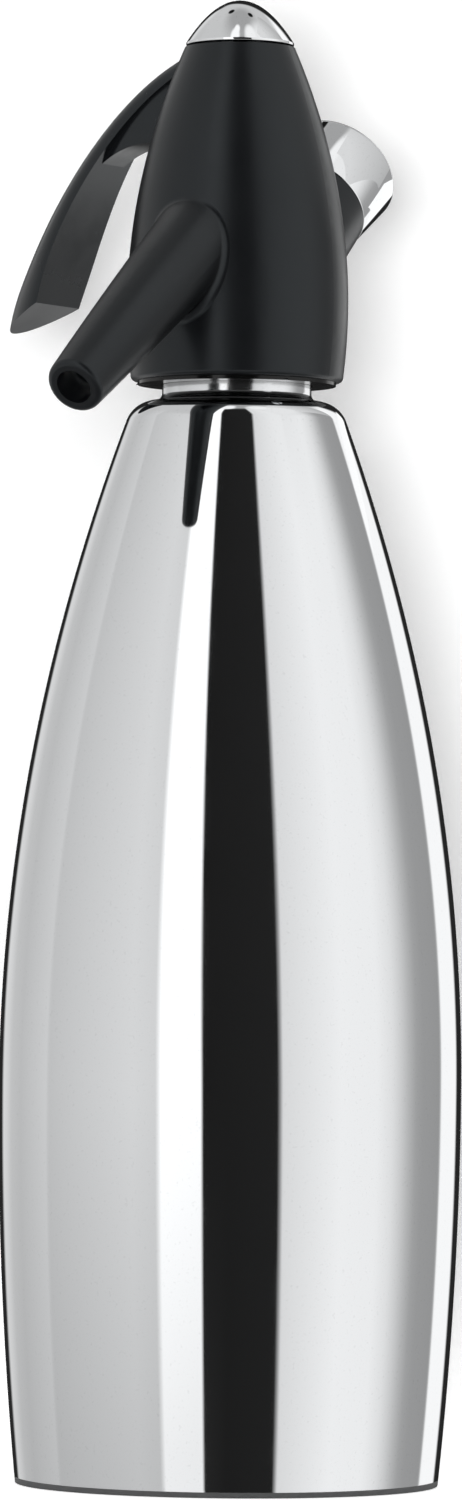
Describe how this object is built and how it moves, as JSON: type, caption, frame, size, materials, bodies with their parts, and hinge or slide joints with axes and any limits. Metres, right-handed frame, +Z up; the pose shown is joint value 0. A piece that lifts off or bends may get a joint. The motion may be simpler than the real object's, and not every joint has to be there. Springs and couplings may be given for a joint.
{
  "type": "soda siphon",
  "caption": "Steel soda siphon with a moulded head, pouring spout, hand lever, sprung valve and screw-capped gas charger inlet.",
  "frame": {"origin": "centre of the rim that the bottle stands on", "axes": "+Z up the bottle's axis; the spout points along -Y, the lever along -X, the gas inlet along +Y"},
  "size_m": [0.1072, 0.1226, 0.3212],
  "materials": {
    "polished_steel": "mirror-polished stainless steel",
    "chrome_plate": "polished plating",
    "black_plastic": "satin moulded black",
    "white_plastic": "food-safe white",
    "seal_rubber": "matt",
    "brass": "turned",
    "die_casting": "as cast",
    "bright_steel": "bright"
  },
  "bodies": {
    "bottle": {"bottle_shell": "polished_steel", "base_pan": "polished_steel", "neck_ring": "polished_steel", "filling_tube": "white_plastic"},
    "head": {"head_gasket": "seal_rubber", "thread_collar": "black_plastic", "collar_screws": "bright_steel", "head_housing": "black_plastic", "valve_body": "die_casting", "riser_bush": "white_plastic", "riser_seal": "seal_rubber", "riser_tube": "white_plastic", "valve_spring": "bright_steel", "stem_seal": "seal_rubber", "gland_nut": "brass", "spout_tube": "white_plastic", "spout_seal": "seal_rubber", "lever_pin": "bright_steel", "top_dome": "chrome_plate", "inlet_nipple": "brass", "piercing_pin": "bright_steel", "charger_washer": "seal_rubber", "check_sleeve": "seal_rubber", "relief_disc": "brass", "relief_nut": "brass"},
    "lever": {"lever": "black_plastic"},
    "valve_plunger": {"valve_stem": "bright_steel", "valve_seal": "seal_rubber", "stem_button": "black_plastic"},
    "inlet_cap": {"inlet_cap": "chrome_plate", "cap_seal": "seal_rubber"}
  },
  "joints": [
    {"name": "head_lift", "type": "slide", "parent": "bottle", "child": "head", "axis": [0, 0, 1], "range_m": [0, 0.25]},
    {"name": "lever_press", "type": "hinge", "parent": "head", "child": "lever", "pos_m": [0.0085, 0, 0.299], "axis": [0, -1, 0], "range_deg": [0, 10], "stiffness_Nm_per_rad": 5, "springref_deg": -6.88},
    {"name": "stem_slide", "type": "slide", "parent": "head", "child": "valve_plunger", "axis": [0, 0, -1], "range_m": [0, 0.00152], "deforming": ["valve_spring"]},
    {"name": "inlet_cap_off", "type": "slide", "parent": "head", "child": "inlet_cap", "axis": [0, 0.7749, 0.632], "range_m": [0, 0.02]}
  ],
  "couplings": [
    {"joint": "stem_slide", "follows": "lever_press", "m_per_rad": 0.0086}
  ]
}
